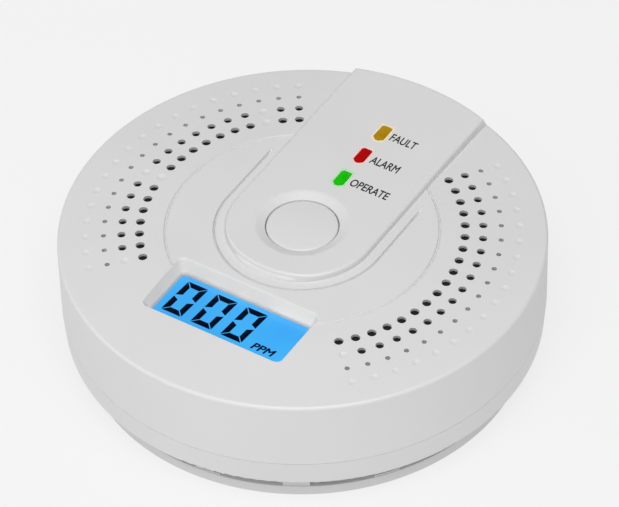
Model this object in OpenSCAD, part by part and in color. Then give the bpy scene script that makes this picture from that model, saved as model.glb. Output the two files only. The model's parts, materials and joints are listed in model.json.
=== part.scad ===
// Round battery carbon monoxide detector on a twist-lock mounting plate.
// The origin is the centre of the plate's back face; +Z points out of the wall
// and +Y points along the raised strip, away from the display.

/* [Body] */
// Outer diameter of the body
body_d = 100; // [96:1:120]
// Height of the front cover, from the parting line to the flat of its face
cover_h = 16.9; // [16:0.1:22]
// Height of the rear shell's outer wall
rear_h = 6.1; // [5:0.05:8]
// Visible gap at the parting line
split_gap = 0.1; // [0.1:0.05:0.5]
// Thickness of the side walls
wall = 2; // [1.6:0.1:2.4]
// Thickness of the cover's face
face_t = 2; // [1.6:0.1:2.4]
// Radius of the flat middle of the face
face_flat_r = 28.1; // [24:0.1:30]
// Slope of the face outside its flat middle, in degrees
face_slope = 2.8; // [0.5:0.1:4]
// Radius of the rounded edge between face and side
edge_r = 0.7; // [0.4:0.1:2]
// Inward lean of the rear shell's wall over its height
rear_draft = 0.4; // [0:0.1:1]
// Rounding of the rear shell's lower edge
rear_edge_r = 0.7; // [0.3:0.1:1.2]
// Height of the lip that locates the cover on the rear shell
lip_h = 2.2; // [1:0.1:3]

/* [Raised strip] */
// Width of the strip where it meets the face
strip_w = 31.5; // [26:0.1:34]
// Height of the strip above the face
strip_h = 1.5; // [0.8:0.1:2]
// Inward lean of the strip's sides over its height
strip_lean = 0.45; // [0.1:0.05:1]
// How far the wide bevel of the round end is set back from the strip's own centre
bevel_shift = 4; // [2:0.5:6]
// Inward lean of the strip's outer end, up to its top
strip_end_lean = 1.6; // [0.8:0.1:3]
// Radius of the fine line around the strip
line_r = 18; // [17:0.1:19]
// How far the fine line runs along the strip from the button's centre
line_l = 17; // [10:0.5:20]
// Depth of the fine line around the strip
line_depth = 0.4; // [0.1:0.05:0.5]
// Width of the fine line around the strip
line_w = 0.4; // [0.2:0.05:0.8]
// Width of the groove around the flat middle of the face
groove_w = 0.7; // [0.4:0.1:2]
// Depth of the groove around the flat middle of the face
groove_depth = 0.5; // [0.2:0.05:0.6]

/* [Test button] */
// Diameter of the test button
button_d = 14.8; // [12:0.1:17]
// Gap all round the button
button_gap = 0.2; // [0.15:0.05:0.5]
// Height of the button's top above the foot of its dished surround
button_rise = 0.4; // [0:0.05:0.6]
// Travel of the button
button_travel = 0.5; // [0.3:0.1:0.8]
// Diameter of the dished surround
dish_d = 19.2; // [18.2:0.1:22]
// Depth of the dished surround
dish_depth = 0.8; // [0.4:0.1:0.9]

/* [Lamp windows] */
// Width of each lamp window
lamp_w = 2.4; // [2:0.1:3]
// Length of each lamp window
lamp_l = 4.7; // [4:0.1:6]
// Distance from the button's centre to the nearest lamp window
lamp_first = 15.4; // [13.5:0.1:17]
// Distance between lamp windows
lamp_pitch = 7.95; // [7:0.05:8.4]
// Corner cut of each lamp window's lower end
lamp_cut = 0.7; // [0.3:0.1:1]

/* [Display] */
// Width of the display pocket at its floor
display_w = 31.1; // [26:0.1:33]
// Length of the display pocket at its floor
display_l = 13.2; // [11:0.1:14]
// Distance from the face's centre to the display's centre
display_y = 27.3; // [26:0.1:29]
// Depth of the display glass below the face
display_depth = 3.4; // [2.8:0.1:4]
// How far the pocket's walls flare outwards
display_flare = 1.1; // [0.5:0.1:1.3]
// Thickness of the display glass
glass_t = 1.6; // [1.2:0.1:2]

/* [Grille] */
// Radius of the inner ring of holes
grille_r = 33.15; // [32:0.05:34]
// Distance between the rings of holes
ring_pitch = 3.68; // [3.2:0.02:3.8]
// Number of rows on each side
grille_rows = 18; // [10:1:18]
// Angle between rows, in degrees
row_pitch = 6; // [5:0.25:6]
// Angle of the first row from the strip's direction, in degrees
row_start = 33.25; // [33:0.25:36]
// Diameters of the four rings, from the inner ring outwards
hole_ds = [1.85, 1.65, 1.15, 1.5];
// Depths of the two outer rings, which don't go through
dimple_depths = [1.4, 0.15];
// Thickness of the face at the through holes
grille_t = 1; // [0.8:0.1:1.2]
// Holes left closed, each as side, ring and row
closed_holes = [[-1, 0, 2], [-1, 0, 10], [-1, 1, 2], [-1, 1, 10], [-1, 1, 17], [1, 1, 17]];

/* [Batteries] */
// Diameter of an AA cell
cell_d = 14.5; // [14:0.1:14.5]
// Length of an AA cell, with its terminal
cell_l = 50.5; // [49:0.1:50.5]
// Gap beside each cell
cell_gap = 0.4; // [0.2:0.1:0.6]
// Length of a battery spring as fitted
spring_l = 4.2; // [3:0.1:5]

/* [Mounting plate] */
// How far the body overhangs the plate
plate_inset = 3.7; // [3:0.1:6]
// Thickness of the plate
plate_t = 1.8; // [1.5:0.1:2.5]
// Height of the plate's rim
plate_rim_h = 2.5; // [2:0.1:3.5]
// Gap between the plate's rim and the body
rim_gap = 4.2; // [3.5:0.1:5]
// Gap between the plate and the rear shell's floor
floor_gap = 2.4; // [2:0.1:3]
// Turn that unlocks the body from the plate, in degrees
twist = 15; // [10:1:16]
// Distance between the two wall screws
screw_spacing = 60; // [50:1:64]
// Width of the wall-screw slots
slot_w = 4.5; // [3.5:0.1:5]
// Length of the wall-screw slots
slot_l = 9; // [7:0.5:10]
// Direction of the first stand-off tab, in degrees from +X
tab_angle = -60; // [-64:0.5:-56]
// Width of a stand-off tab, in degrees
tab_span = 6.8; // [4:0.2:8]

/* [Circuit board] */
// Thickness of the circuit board
board_t = 1.6; // [1:0.1:1.6]
// Diameter of the gas sensor
sensor_d = 20; // [16:0.5:20.5]
// Height of the gas sensor, without its cap
sensor_h = 15.6; // [12:0.1:16]
// Diameter of the sounder
sounder_d = 21; // [18:0.5:21]
// Height of the sounder
sounder_h = 12; // [8:0.5:13]
// Width of the tact switch
switch_w = 6; // [5:0.5:7]
// Height of the tact switch without its plunger
switch_h = 3.4; // [3:0.1:3.6]

/* [Fasteners] */
// Diameter of the case screws
case_screw_d = 2.8; // [2.5:0.1:3]
// Length of the case screws below the head
case_screw_l = 11; // [8:0.5:12]
// Diameter of the board screws
board_screw_d = 2.2; // [2:0.1:2.5]

/* [Hidden] */
$fn = 64;

// clearances
slide_gap = 0.3;        // between pieces that move past each other
fit_gap = 0.1;          // between pieces that are fitted together
eps = 0.01;             // overshoot of a cut through a face

// radii
body_r = body_d / 2;
inner_r = body_r - wall;
plate_r = body_r - plate_inset;
lip_r = inner_r - 2 * fit_gap;
lip_t = 1.2;
boss_r = 3;
case_boss_ring = lip_r - lip_t - 0.4 - boss_r;
screw_head_r = case_screw_d / 2 + 1.3;
spigot_r = case_boss_ring - screw_head_r - 0.5;
spigot_wall = 2;
board_r = lip_r - lip_t - 1.1;

// levels, from the wall outwards
z_plate = plate_t;
z_rim = plate_rim_h;
z_floor = z_plate + floor_gap;
floor_t = 2;
z_floor_top = z_floor + floor_t;
z_rear = z_rim + rim_gap;
z_shelf_top = z_rear + floor_t;
z_rear_top = z_rear + rear_h;
z_split = z_rear_top + split_gap;
z_face = z_split + cover_h;
z_under = z_face - face_t;
z_strip = z_face + strip_h;
z_strip_under = z_strip - face_t;
z_cell = z_floor + 0.2 + cell_d / 2;
bay_wall = 1.5;
z_bay_top = z_cell + cell_d / 2 + 0.2;
z_board = z_bay_top + bay_wall + 0.3;
z_board_top = z_board + board_t;

// face outline: the slope ends where the rounded edge begins
edge_centre_r = body_r - edge_r;
z_edge = z_face - (edge_centre_r + edge_r * sin(face_slope) - face_flat_r) * tan(face_slope)
    - edge_r * cos(face_slope);
z_under_edge = z_under - (inner_r - face_flat_r) * tan(face_slope);

// display stack
z_glass_top = z_face - display_depth;
z_glass = z_glass_top - glass_t;
gasket_t = 0.2;
z_pocket = z_glass_top + gasket_t;
pocket_step = 0.7;
display_corner = 1.2;
glass_w = display_w + 5.6;
glass_l = display_l + 5.4;

// battery bay
cell_pitch = cell_d + cell_gap;
bay_w = 3 * cell_pitch + cell_gap;
contact_t = 0.3;
bay_l = cell_l + spring_l + 2 * contact_t + 0.2;
tab_w = 3;
tab_h = 2;
z_tab = z_cell + cell_d / 4 + 1;

// gas sensor and sounder, each beside the battery bay
bay_side = bay_w / 2 + bay_wall;
sensor_x = bay_side + sensor_d / 2 + 1.6;
sounder_x = -(bay_side + sounder_d / 2 + 0.2);
filter_t = 0.4;
filter_gap = 0.05;
filter_in = grille_r - 2.1;
filter_out = min(grille_r + ring_pitch + 2.5, case_boss_ring - boss_r - 0.8);
filter_span = (grille_rows - 1) * row_pitch + 7;
filter_middle = row_start + (grille_rows - 1) * row_pitch / 2;
z_room = z_under_edge - 0.5;
sensor_cap_h = 1.2;
z_sensor_top = z_room - 0.4;
z_sensor = z_sensor_top - sensor_cap_h - sensor_h;
z_sounder = z_room - 1.2 - sounder_h;
can_gap = 0.6;
post_r = 1.2;

// button and switch
button_r = button_d / 2;
z_button_top = z_strip - dish_depth + button_rise;
flange_r = button_r + 1.1;
flange_t = 1.1;
z_flange_top = z_strip_under - fit_gap;
z_switch_top = z_board_top + switch_h;
plunger_r = 1.7;
plunger_rise = 1;
stem_r = 2.4;

// twist lock: the hooks stand half the twist past each axis
hook_r = spigot_r - spigot_wall - 4;
hook_half = 2.4;
hook_neck = 1.2;
hook_span = 8;
hook_head_t = 1.4;
z_hook = z_floor_top + slide_gap;
hook_angles = [for (k = [0:3]) 90 * k];

// fasteners
case_screw_angle = 50;
case_angles = [for (a = [case_screw_angle, 180 - case_screw_angle]) each [a, -a]];
screw_head_h = 1.7;
z_screw_seat = z_rear + floor_t;
pad_h = 1.7;
pilot_gap = 0.06;
z_boss = z_screw_seat + pad_h + 2 * fit_gap;
board_posts = [[90, board_r - 4.2], [-108.5, board_r - 2.1], [-71.5, board_r - 2.1]];
board_screw_l = 6;
board_head_h = 1.4;
post_pad_r = 2.2;

// lamps
lamps = [for (k = [0:2]) lamp_first + k * lamp_pitch];
led_h = 1.2;
led_gap = 0.3;
pipe_gap = 0.05;

white = [0.86, 0.86, 0.85];

// ---------- shared shapes ----------

// ring of a rectangular section, standing on z
module ring(r_in, r_out, z, h) {
    difference() {
        translate([0, 0, z]) cylinder(r = r_out, h = h);
        translate([0, 0, z - eps]) cylinder(r = r_in, h = h + 2 * eps);
    }
}

// part of a ring, centred on a direction
module sector(r_in, r_out, z, h, span, angle) {
    rotate([0, 0, angle - span / 2])
        rotate_extrude(angle = span)
            translate([r_in, z]) square([r_out - r_in, h]);
}

// bar with rounded corners, standing on z = 0
module rounded_bar(w, l, h, r) {
    linear_extrude(height = h) {
        square([w - 2 * r, l], center = true);
        square([w, l - 2 * r], center = true);
        for (x = [-1, 1], y = [-1, 1])
            translate([x * (w / 2 - r), y * (l / 2 - r)]) circle(r = r);
    }
}

// bar with rounded corners whose walls flare outwards as it rises
module flared_bar(w, l, h, r, flare) {
    cx = w / 2 - r;
    cy = l / 2 - r;
    for (x = [-cx, cx], y = [-cy, cy])
        translate([x, y, 0]) cylinder(r1 = r, r2 = r + flare, h = h);
    rotate([90, 0, 90])
        linear_extrude(height = 2 * cx, center = true)
            polygon([[-l / 2, 0], [l / 2, 0], [l / 2 + flare, h], [-l / 2 - flare, h]]);
    rotate([90, 0, 0])
        linear_extrude(height = 2 * cy, center = true)
            polygon([[-w / 2, 0], [w / 2, 0], [w / 2 + flare, h], [-w / 2 - flare, h]]);
}

// slot along X through a plate, with round ends
module slot(l, w, h) {
    for (x = [-1, 1]) translate([x * (l - w) / 2, 0, 0]) cylinder(d = w, h = h);
    translate([-(l - w) / 2, -w / 2, 0]) cube([l - w, w, h]);
}

// ---------- mounting plate ----------

module hook(angle) {
    sector(hook_r - hook_neck, hook_r + hook_neck, z_plate - eps, z_hook + eps * 2 - z_plate,
        hook_span, angle);
    sector(hook_r - hook_half, hook_r + hook_half, z_hook, hook_head_t, hook_span, angle);
}

module wall_screw_slot() {
    head_d = 2 * slot_w;
    translate([0, 0, -eps]) slot(slot_l, slot_w, z_plate + 2 * eps);
    translate([0, 0, z_plate - 0.9]) slot(slot_l + head_d - slot_w, head_d, 1);
}

module mounting_plate() {
    rim_t = 2;
    bottom_edge = 0.2;
    rib_h = 0.4;
    tab_inset = 0.15;
    color(white) difference() {
        union() {
            rotate_extrude() polygon([
                [0, 0], [plate_r - bottom_edge, 0], [plate_r, bottom_edge], [plate_r, z_rim],
                [plate_r - rim_t, z_rim], [plate_r - rim_t, z_plate], [0, z_plate]
            ]);
            for (a = hook_angles) hook(a + twist / 2);
            // stand-off tabs and the low ribs beside them
            for (k = [0:2], side = [-23, 0, 23])
                sector(plate_r - rim_t + tab_inset, plate_r - tab_inset, z_plate,
                    (side == 0 ? z_rear - slide_gap : z_rim + rib_h) - z_plate,
                    tab_span, tab_angle + 120 * k + side);
        }
        for (x = [-1, 1]) translate([x * screw_spacing / 2, 0, 0]) wall_screw_slot();
        // lightening holes that also let a cable tie or a level mark through
        for (a = [45:90:315]) rotate([0, 0, a]) translate([plate_r * 0.55, 0, -eps])
            cylinder(d = 7, h = z_plate + 2 * eps);
    }
}

// ---------- rear shell ----------

module rear_outline() {
    corner_r = body_r - rear_draft - rear_edge_r;
    polygon([
        [0, z_floor], [spigot_r, z_floor], [spigot_r, z_rear], [corner_r, z_rear],
        [corner_r + rear_edge_r, z_rear + rear_edge_r], [body_r, z_rear_top],
        [lip_r - 0.2, z_rear_top], [lip_r - 0.2, z_shelf_top],
        [spigot_r - spigot_wall, z_shelf_top], [spigot_r - spigot_wall, z_floor_top], [0, z_floor_top]
    ]);
    translate([corner_r, z_rear + rear_edge_r]) circle(r = rear_edge_r);
}

module hook_slot(angle) {
    spare = 1.2;
    through = floor_t + 2 * eps;
    sector(hook_r - hook_neck - slide_gap, hook_r + hook_neck + slide_gap, z_floor - eps, through,
        twist + hook_span + spare, angle);
    sector(hook_r - hook_half - slide_gap, hook_r + hook_half + slide_gap, z_floor - eps, through,
        hook_span + spare, angle - twist / 2);
}

// post that a round component stands on
module rest_post(r, angle, top) {
    foot = r > spigot_r ? z_shelf_top : z_floor_top;
    rotate([0, 0, angle]) translate([r, 0, foot - eps]) cylinder(r = post_r, h = top - foot + eps);
}

module rear_shell() {
    color(white) difference() {
        union() {
            rotate_extrude() rear_outline();
            ring(lip_r - lip_t, lip_r, z_rear_top - 1.6, 1.6 + split_gap + lip_h);
            // battery bay
            translate([-bay_side, -bay_l / 2 - bay_wall, z_floor])
                cube([2 * bay_side, bay_l + 2 * bay_wall, z_bay_top + bay_wall - z_floor]);
            at_case_bosses() translate([0, 0, z_rear + eps])
                cylinder(r = boss_r + 0.8, h = floor_t + pad_h - eps);
            for (a = [-10, 10]) {
                rest_post(bay_side + 4.2, a, z_sensor - fit_gap);
                rest_post(bay_side + 4.2, 180 + a, z_sounder - fit_gap);
            }
            rest_post(sensor_x + sensor_d / 2 - 2.2, 0, z_sensor - fit_gap);
            rest_post(-sounder_x + sounder_d / 2 - 2.2, 180, z_sounder - fit_gap);
        }
        translate([-bay_w / 2, -bay_l / 2, z_floor - 1])
            cube([bay_w, bay_l, z_bay_top - z_floor + 1]);
        for (a = hook_angles) hook_slot(a);
        at_case_bosses() translate([0, 0, z_rear - 1]) {
            cylinder(r = screw_head_r + 0.2, h = floor_t + 1);
            cylinder(d = case_screw_d + 0.4, h = floor_t + pad_h + 2);
        }
        // slits for the contact tabs of the two end terminals
        for (s = [[-1, 1], [1, -1]])
            translate([s[0] * cell_pitch, s[1] * (bay_l + bay_wall) / 2, z_tab + tab_h / 2])
                cube([tab_w + 0.4, 2 * bay_wall, tab_h + 0.4], center = true);
    }
}

// ---------- front cover ----------

module cover_outline() {
    polygon([
        [0, z_face], [face_flat_r, z_face],
        [edge_centre_r + edge_r * sin(face_slope), z_edge + edge_r * cos(face_slope)],
        [body_r, z_edge], [body_r, z_split], [inner_r, z_split],
        [inner_r, z_under_edge], [face_flat_r, z_under], [0, z_under]
    ]);
    translate([edge_centre_r, z_edge]) circle(r = edge_r);
}

// strip outline grown or shrunk by grow, from z_low up to z_high
module strip_bar(grow, z_low, z_high, reach) {
    lean = strip_lean / strip_h;
    low = strip_w / 2 + grow + (z_face - z_low) * lean;
    high = strip_w / 2 + grow + (z_face - z_high) * lean;
    h = z_high - z_low;
    translate([0, 0, z_low]) {
        cylinder(r1 = low, r2 = high, h = h);
        rotate([90, 0, 0]) translate([0, 0, -reach])
            linear_extrude(height = reach)
                polygon([[-low, 0], [low, 0], [high, h], [-high, h]]);
    }
}

module raised_strip() {
    root = z_face - 1.6;
    bevel_r = strip_w / 2 + bevel_shift + z_face - root;
    intersection() {
        strip_bar(0, root, z_strip, body_r);
        // the wide bevel, which fades out along the sides of the round end
        union() {
            translate([0, bevel_shift, root])
                cylinder(r1 = bevel_r, r2 = bevel_r - (z_strip - root), h = z_strip - root);
            translate([-body_r, bevel_shift, root - 1]) cube([body_d, body_r, 6]);
        }
        translate([0, 0, z_edge])
            cylinder(r1 = body_r, r2 = body_r - strip_end_lean, h = z_strip - z_edge);
    }
}

// V-shaped ring cut into the face
module fine_ring(r, w, depth) {
    rotate_extrude()
        polygon([[r - w / 2, z_face + eps], [r, z_face - depth], [r + w / 2, z_face + eps]]);
}

module fine_u() {
    intersection() {
        fine_ring(line_r, line_w, line_depth);
        translate([-body_r, -body_r, 0]) cube([body_d, body_r, z_strip]);
    }
    for (side = [-1, 1]) translate([side * line_r, 0, 0])
        rotate([90, 0, 0]) translate([0, 0, -line_l])
            linear_extrude(height = line_l)
                polygon([[-line_w / 2, z_face + eps], [0, z_face - line_depth], [line_w / 2, z_face + eps]]);
}

// height of the sloping face at radius r
function face_z(r) = z_face - max(0, r - face_flat_r) * tan(face_slope);

// part of a ring that follows the face's slope, its top lying depth below the face
module sloped_band(r_in, r_out, depth, t, span, angle) {
    rotate([0, 0, angle - span / 2])
        rotate_extrude(angle = span)
            polygon([
                [r_in, face_z(r_in) - depth - t], [r_out, face_z(r_out) - depth - t],
                [r_out, face_z(r_out) - depth], [r_in, face_z(r_in) - depth]
            ]);
}

module grille_cuts() {
    closed_depth = 0.12;
    for (side = [-1, 1], row = [0:grille_rows - 1], k = [0:3]) {
        r = grille_r + k * ring_pitch;
        closed = len([for (c = closed_holes) if (c == [side, k, row]) c]) > 0;
        depth = k > 1 ? dimple_depths[k - 2] : closed ? closed_depth : face_t + 1;
        rotate([0, 0, -side * (row_start + row * row_pitch)])
            translate([0, r, face_z(r) - depth])
                cylinder(d = hole_ds[k], h = depth + 1, $fn = 24);
    }
}

module lamp_outline(grow) {
    w = lamp_w / 2 + grow;
    l = lamp_l / 2 + grow;
    cut = lamp_cut;
    top_cut = lamp_cut / 2;
    polygon([
        [-w, -l + cut], [-w + 1.3 * cut, -l], [w - 1.3 * cut, -l], [w, -l + cut],
        [w, l - top_cut], [w - top_cut, l], [-w + top_cut, l], [-w, l - top_cut]
    ]);
}

module lamp_shape(index, z, h, grow) {
    translate([0, lamps[index], z]) linear_extrude(height = h) lamp_outline(grow);
}

// places a piece at every case boss
module at_case_bosses() {
    for (a = case_angles) rotate([0, 0, a]) translate([case_boss_ring, 0, 0]) children();
}

// places a piece at every board post
module at_board_posts() {
    for (p = board_posts) rotate([0, 0, p[0]]) translate([p[1], 0, 0]) children();
}

// blind hole that a screw is driven into
module pilot_hole(d, z, depth) {
    translate([0, 0, z - eps]) cylinder(d = d + pilot_gap, h = depth);
}

module front_cover() {
    pocket_wall = 1.8;
    color(white) difference() {
        union() {
            difference() {
                rotate_extrude() cover_outline();
                fine_ring(face_flat_r, groove_w, groove_depth);
                fine_u();
                grille_cuts();
            }
            raised_strip();
            // box around the display pocket
            translate([0, -display_y, z_pocket])
                rounded_bar(display_w + 2 * pocket_wall, display_l + 2 * pocket_wall,
                    z_under - z_pocket + eps, 1);
            at_case_bosses() translate([0, 0, z_boss]) cylinder(r = boss_r, h = z_under - z_boss - 0.5);
            at_board_posts() translate([0, 0, z_board_top])
                cylinder(r = post_pad_r, h = z_under - z_board_top);
        }
        at_case_bosses() pilot_hole(case_screw_d, z_boss, case_screw_l);
        at_board_posts() pilot_hole(board_screw_d, z_board_top, board_screw_l - board_t + 0.6);
        // recesses that thin the face at the holes and take the dust filters
        for (side = [-1, 1])
            sloped_band(filter_in - fit_gap, filter_out + fit_gap, grille_t, face_t, filter_span + 1,
                90 - side * filter_middle);
        // hollow under the strip, which stops short of the board post
        strip_bar(-face_t, z_under_edge - 1, z_strip_under, board_posts[0][1] - post_pad_r - 0.5);
        // button hole and its dish
        translate([0, 0, z_under]) cylinder(r = button_r + button_gap, h = z_strip - z_under + 1);
        translate([0, 0, z_strip - dish_depth])
            cylinder(r1 = button_r + button_gap, r2 = dish_d / 2, h = dish_depth + eps);
        for (k = [0:2]) lamp_shape(k, z_under_edge, z_strip - z_under_edge + 1, 0);
        // display pocket: straight at the bottom, flared above
        translate([0, -display_y, z_pocket - 1])
            rounded_bar(display_w, display_l, pocket_step + 1 + eps, display_corner);
        translate([0, -display_y, z_pocket + pocket_step])
            flared_bar(display_w, display_l, z_face - z_pocket - pocket_step, display_corner, display_flare);
        translate([0, -display_y, z_face - eps])
            rounded_bar(display_w + 2 * display_flare, display_l + 2 * display_flare, 1,
                display_corner + display_flare);
    }
}

// ---------- test button and switch ----------

module test_button() {
    edge = 0.4;
    color([0.88, 0.88, 0.87]) rotate_extrude()
        polygon([
            [0, z_button_top],
            for (a = [90:-22.5:0])
                [button_r - edge + edge * cos(a), z_button_top - edge + edge * sin(a)],
            [button_r, z_flange_top], [flange_r, z_flange_top],
            [flange_r, z_flange_top - flange_t], [stem_r, z_flange_top - flange_t],
            [stem_r, z_switch_top + plunger_rise + pipe_gap], [0, z_switch_top + plunger_rise + pipe_gap]
        ]);
}

module switch_body() {
    color([0.15, 0.15, 0.16]) difference() {
        translate([-switch_w / 2, -switch_w / 2, z_board_top]) cube([switch_w, switch_w, switch_h]);
        translate([0, 0, z_board_top + 1]) cylinder(r = plunger_r + fit_gap / 2, h = switch_h);
    }
}

module switch_plunger() {
    color([0.1, 0.1, 0.1])
        translate([0, 0, z_board_top + 1 + button_travel + 0.2])
            cylinder(r = plunger_r, h = z_switch_top + plunger_rise - z_board_top - 1.2 - button_travel);
}

// ---------- lamps ----------

module light_pipe(index, shade) {
    foot = z_board_top + led_h + led_gap;
    color(shade) {
        lamp_shape(index, foot, z_strip - foot, -pipe_gap);
        // shoulder that stops the pipe under the strip
        lamp_shape(index, z_strip_under - 0.9, 0.8, 0.6);
    }
}
module light_pipe_fault() light_pipe(2, [0.75, 0.5, 0.08]);
module light_pipe_alarm() light_pipe(1, [0.74, 0, 0.03]);
module light_pipe_operate() light_pipe(0, [0, 0.72, 0.05]);

module led(index, shade) {
    color(shade) translate([0, lamps[index], z_board_top]) {
        translate([-1, -1.6, 0]) cube([2, 3.2, led_h * 0.6]);
        translate([-0.8, -1, led_h * 0.6]) cube([1.6, 2, led_h * 0.4]);
    }
}
module led_fault() led(2, "khaki");
module led_alarm() led(1, "salmon");
module led_operate() led(0, "lightgreen");

// ---------- display ----------

module display_glass() {
    color([0.24, 0.66, 0.94]) translate([0, -display_y, z_glass])
        rounded_bar(glass_w, glass_l, glass_t, 0.4);
}

module display_gasket() {
    border = 0.25;
    color([0.7, 0.71, 0.71]) translate([0, -display_y, z_glass_top]) difference() {
        rounded_bar(display_w + 3, display_l + 3, gasket_t, 0.8);
        translate([0, 0, -eps])
            rounded_bar(display_w - 2 * border, display_l - 2 * border, gasket_t + 2 * eps, display_corner);
    }
}

module display_backlight() {
    foot = z_board_top + fit_gap;
    color("white") translate([0, -display_y, foot])
        rounded_bar(display_w + 2, display_l + 1.4, z_glass - fit_gap - foot, 0.6);
}

// comb of pins between one long edge of the glass and the board
module display_pins(side) {
    pins = 14;
    pitch = 2;
    rail_w = 1;
    first_x = -(pins - 1) * pitch / 2;
    color("silver") translate([first_x, -display_y + side * (glass_l / 2 - 0.7), z_board_top]) {
        translate([-0.6, -rail_w / 2, 0]) cube([(pins - 1) * pitch + 1.2, rail_w, 0.8]);
        for (k = [0:pins - 1]) translate([k * pitch - 0.25, -0.2, 0])
            cube([0.5, 0.4, z_glass - z_board_top]);
    }
}
module display_pins_upper() display_pins(1);
module display_pins_lower() display_pins(-1);

// ---------- filters, board and what it carries ----------

module dust_filter(side) {
    color([0.06, 0.06, 0.06])
        sloped_band(filter_in, filter_out, grille_t + filter_gap, filter_t, filter_span,
            90 - side * filter_middle);
}
module dust_filter_left() dust_filter(-1);
module dust_filter_right() dust_filter(1);

module circuit_board() {
    color([0.08, 0.35, 0.16]) difference() {
        translate([0, 0, z_board]) cylinder(r = board_r, h = board_t);
        translate([0, 0, z_board - eps]) {
            at_case_bosses() cylinder(r = boss_r + 0.5, h = board_t + 2 * eps);
            translate([sensor_x, 0, 0]) cylinder(r = sensor_d / 2 + can_gap, h = board_t + 2 * eps);
            translate([sounder_x, 0, 0]) cylinder(r = sounder_d / 2 + can_gap, h = board_t + 2 * eps);
            at_board_posts() cylinder(d = board_screw_d + 0.3, h = board_t + 2 * eps);
        }
    }
}

module sensor_can() {
    color([0.72, 0.73, 0.74]) translate([sensor_x, 0, z_sensor]) {
        cylinder(d = sensor_d, h = sensor_h - 1);
        translate([0, 0, sensor_h - 1]) cylinder(d1 = sensor_d, d2 = sensor_d - 2, h = 1);
    }
}

module sensor_cap() {
    cap_hole_d = 1.6;
    color([0.9, 0.9, 0.88]) translate([sensor_x, 0, z_sensor + sensor_h + eps]) difference() {
        cylinder(d = sensor_d - 4, h = sensor_cap_h);
        for (a = [0:60:300]) rotate([0, 0, a]) translate([3.4, 0, -eps])
            cylinder(d = cap_hole_d, h = sensor_cap_h + 1);
        translate([0, 0, -eps]) cylinder(d = cap_hole_d, h = sensor_cap_h + 1);
    }
}

// strap from a round component to the board around it
module strap(x, r, angle) {
    color("silver") translate([x, 0, z_board_top]) rotate([0, 0, angle])
        translate([r, -0.6, 0]) cube([can_gap + 1.6, 1.2, 0.4]);
}
module sensor_lead(k) strap(sensor_x, sensor_d / 2 + 0.02, 90 * k);
module sounder_lead(k) strap(sounder_x, sounder_d / 2 + 0.02, -45 + 90 * k);

module sounder_housing() {
    skin = 1.2;
    color([0.1, 0.1, 0.11]) translate([sounder_x, 0, z_sounder]) difference() {
        cylinder(d = sounder_d, h = sounder_h);
        translate([0, 0, 2.5]) cylinder(d = sounder_d - 2 * skin, h = sounder_h - 2.5 - skin);
        translate([0, 0, -eps]) cylinder(d = sounder_d - 4, h = 1.5);
        translate([0, 0, 1]) cylinder(d = sounder_d - 6, h = 2);
        translate([0, 0, sounder_h - 2]) cylinder(d = 4, h = 3);
    }
}

module sounder_disc() {
    color("gold") translate([sounder_x, 0, z_sounder + 2.5])
        cylinder(d = sounder_d - 3, h = 0.4);
}

module chip(x, y, w, l, h) {
    leg = 0.8;
    translate([x, y, z_board_top]) {
        color([0.12, 0.12, 0.13]) translate([-w / 2, -l / 2, 0.1]) cube([w, l, h]);
        // legs along both long sides
        for (k = [0:3], side = [-1, 1]) color("silver")
            translate([side * (w / 2 + leg / 2) - (leg + 0.2) / 2, (k - 1.5) * l / 5 - 0.2, 0])
                cube([leg + 0.2, 0.4, 0.4]);
    }
}
module controller_chip() chip(-11.5, 7, 7, 7, 1.2);
module amplifier_chip() chip(11.5, 8, 4, 5, 1.4);
module regulator_chip() chip(11.5, -6, 4, 5, 1.4);

module capacitor(x, y) {
    color([0.75, 0.75, 0.78]) translate([x, y, z_board_top]) {
        cylinder(d = 5, h = 4.2);
        translate([-2.7, -2.7, 0]) cube([5.4, 5.4, 0.8]);
    }
}
module capacitor_1() capacitor(-12, -8);
module capacitor_2() capacitor(12, 20);

module sounder_coil() {
    color([0.1, 0.1, 0.1]) translate([-12, 21, z_board_top]) {
        cylinder(d = 6, h = 1);
        cylinder(d = 4, h = 4);
        translate([0, 0, 3]) cylinder(d = 6, h = 1);
    }
}

// ---------- batteries and their contacts ----------

// the outer cells point one way and the middle cell the other
function cell_x(k) = (k - 2) * cell_pitch;
function cell_dir(k) = k == 2 ? -1 : 1;
nub_l = 1;
plus_end = bay_l / 2 - contact_t - 0.05;

module battery(k) {
    color([0.2, 0.3, 0.55]) translate([cell_x(k), 0, z_cell]) rotate([0, 0, cell_dir(k) > 0 ? 0 : 180])
        rotate([-90, 0, 0]) {
            translate([0, 0, plus_end - cell_l]) cylinder(d = cell_d, h = cell_l - nub_l);
            translate([0, 0, plus_end - nub_l]) cylinder(d = 5.2, h = nub_l);
        }
}

// conical spring as a swept wire; its rings of points follow a shrinking helix
spring_sides = 6;
spring_wire = 0.35;
spring_steps = 54;
spring_turns = 3.2;
function spring_point(t) = [
    (4.6 - 2 * t) * cos(360 * spring_turns * t),
    (4.6 - 2 * t) * sin(360 * spring_turns * t),
    spring_wire + t * (spring_l - 2 * spring_wire - 0.3)
];
function spring_ring(t) = let (a = 360 * spring_turns * t, c = spring_point(t))
    [for (s = [0:spring_sides - 1]) let (b = 360 * s / spring_sides)
        c + spring_wire * [cos(b) * cos(a), cos(b) * sin(a), sin(b)]];

module coil_spring() {
    n = spring_sides;
    polyhedron(
        points = [for (i = [0:spring_steps]) each spring_ring(i / spring_steps)],
        faces = concat(
            [[for (s = [0:n - 1]) s]],
            [for (i = [0:spring_steps - 1], s = [0:n - 1])
                [i * n + s, (i + 1) * n + s, (i + 1) * n + (s + 1) % n, i * n + (s + 1) % n]],
            [[for (s = [n - 1:-1:0]) spring_steps * n + s]]
        ),
        convexity = 10
    );
}

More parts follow.
